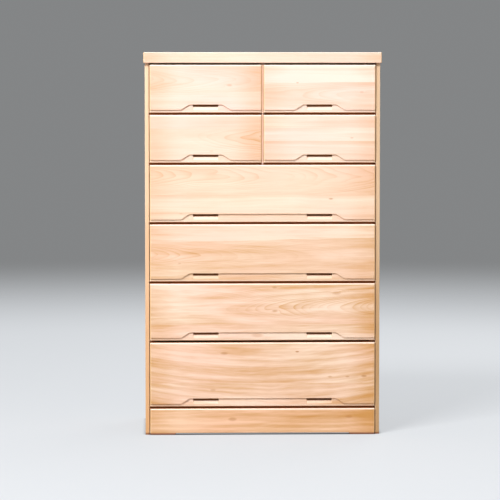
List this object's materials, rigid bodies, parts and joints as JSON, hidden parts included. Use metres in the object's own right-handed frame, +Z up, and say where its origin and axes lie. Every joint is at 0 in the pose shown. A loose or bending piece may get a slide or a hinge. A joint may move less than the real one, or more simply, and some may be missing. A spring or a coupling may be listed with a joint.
{
  "type": "chest of drawers",
  "caption": "Tall pale wood tansu chest of drawers on a low plinth, with half-width drawers over full-width ones and carved finger slots for pulls.",
  "frame": {"origin": "on the floor under the middle of the chest: midway between the ends of the top board, and midway between its front edge and the back of the case", "axes": "+Z up; the drawers open towards -Y, which is the front; +X is to the right of a person facing the front"},
  "size_m": [0.8, 0.445, 1.29],
  "materials": {
    "case_wood": "satin oiled",
    "front_wood": "satin oiled",
    "drawer_wood": "planed, unfinished",
    "plywood": "sanded veneer",
    "runner_wood": "planed, unfinished",
    "dowel_wood": "turned, unfinished",
    "screw_steel": "zinc plated"
  },
  "bodies": {
    "case": {"left_side_panel": "case_wood", "right_side_panel": "case_wood", "top_board": "case_wood", "back_panel": "plywood", "bottom_panel": "case_wood", "centre_partition": "case_wood", "partition_strip": "case_wood", "rail_under_fourth_row": "case_wood", "rail_under_third_row": "case_wood", "rail_under_second_row": "case_wood", "left_rail_under_top_row": "case_wood", "right_rail_under_top_row": "case_wood", "plinth_front_board": "case_wood", "plinth_back_board": "case_wood", "side_runners": "runner_wood", "centre_runners": "runner_wood", "corner_blocks": "runner_wood", "runner_screws": "screw_steel", "back_panel_screws": "screw_steel", "dowels": "dowel_wood"},
    "bottom_drawer": {"bottom_drawer_front": "front_wood", "bottom_drawer_left_side": "drawer_wood", "bottom_drawer_right_side": "drawer_wood", "bottom_drawer_back": "drawer_wood", "bottom_drawer_bottom": "plywood"},
    "fifth_drawer": {"fifth_drawer_front": "front_wood", "fifth_drawer_left_side": "drawer_wood", "fifth_drawer_right_side": "drawer_wood", "fifth_drawer_back": "drawer_wood", "fifth_drawer_bottom": "plywood"},
    "fourth_drawer": {"fourth_drawer_front": "front_wood", "fourth_drawer_left_side": "drawer_wood", "fourth_drawer_right_side": "drawer_wood", "fourth_drawer_back": "drawer_wood", "fourth_drawer_bottom": "plywood"},
    "third_drawer": {"third_drawer_front": "front_wood", "third_drawer_left_side": "drawer_wood", "third_drawer_right_side": "drawer_wood", "third_drawer_back": "drawer_wood", "third_drawer_bottom": "plywood"},
    "second_left_drawer": {"second_left_drawer_front": "front_wood", "second_left_drawer_left_side": "drawer_wood", "second_left_drawer_right_side": "drawer_wood", "second_left_drawer_back": "drawer_wood", "second_left_drawer_bottom": "plywood"},
    "second_right_drawer": {"second_right_drawer_front": "front_wood", "second_right_drawer_left_side": "drawer_wood", "second_right_drawer_right_side": "drawer_wood", "second_right_drawer_back": "drawer_wood", "second_right_drawer_bottom": "plywood"},
    "top_left_drawer": {"top_left_drawer_front": "front_wood", "top_left_drawer_left_side": "drawer_wood", "top_left_drawer_right_side": "drawer_wood", "top_left_drawer_back": "drawer_wood", "top_left_drawer_bottom": "plywood"},
    "top_right_drawer": {"top_right_drawer_front": "front_wood", "top_right_drawer_left_side": "drawer_wood", "top_right_drawer_right_side": "drawer_wood", "top_right_drawer_back": "drawer_wood", "top_right_drawer_bottom": "plywood"}
  },
  "joints": [
    {"name": "bottom_drawer_slide", "type": "slide", "parent": "case", "child": "bottom_drawer", "axis": [0, -1, 0], "range_m": [0, 0.32]},
    {"name": "fifth_drawer_slide", "type": "slide", "parent": "case", "child": "fifth_drawer", "axis": [0, -1, 0], "range_m": [0, 0.32]},
    {"name": "fourth_drawer_slide", "type": "slide", "parent": "case", "child": "fourth_drawer", "axis": [0, -1, 0], "range_m": [0, 0.32]},
    {"name": "third_drawer_slide", "type": "slide", "parent": "case", "child": "third_drawer", "axis": [0, -1, 0], "range_m": [0, 0.32]},
    {"name": "second_left_drawer_slide", "type": "slide", "parent": "case", "child": "second_left_drawer", "axis": [0, -1, 0], "range_m": [0, 0.32]},
    {"name": "second_right_drawer_slide", "type": "slide", "parent": "case", "child": "second_right_drawer", "axis": [0, -1, 0], "range_m": [0, 0.32]},
    {"name": "top_left_drawer_slide", "type": "slide", "parent": "case", "child": "top_left_drawer", "axis": [0, -1, 0], "range_m": [0, 0.32]},
    {"name": "top_right_drawer_slide", "type": "slide", "parent": "case", "child": "top_right_drawer", "axis": [0, -1, 0], "range_m": [0, 0.32]}
  ]
}
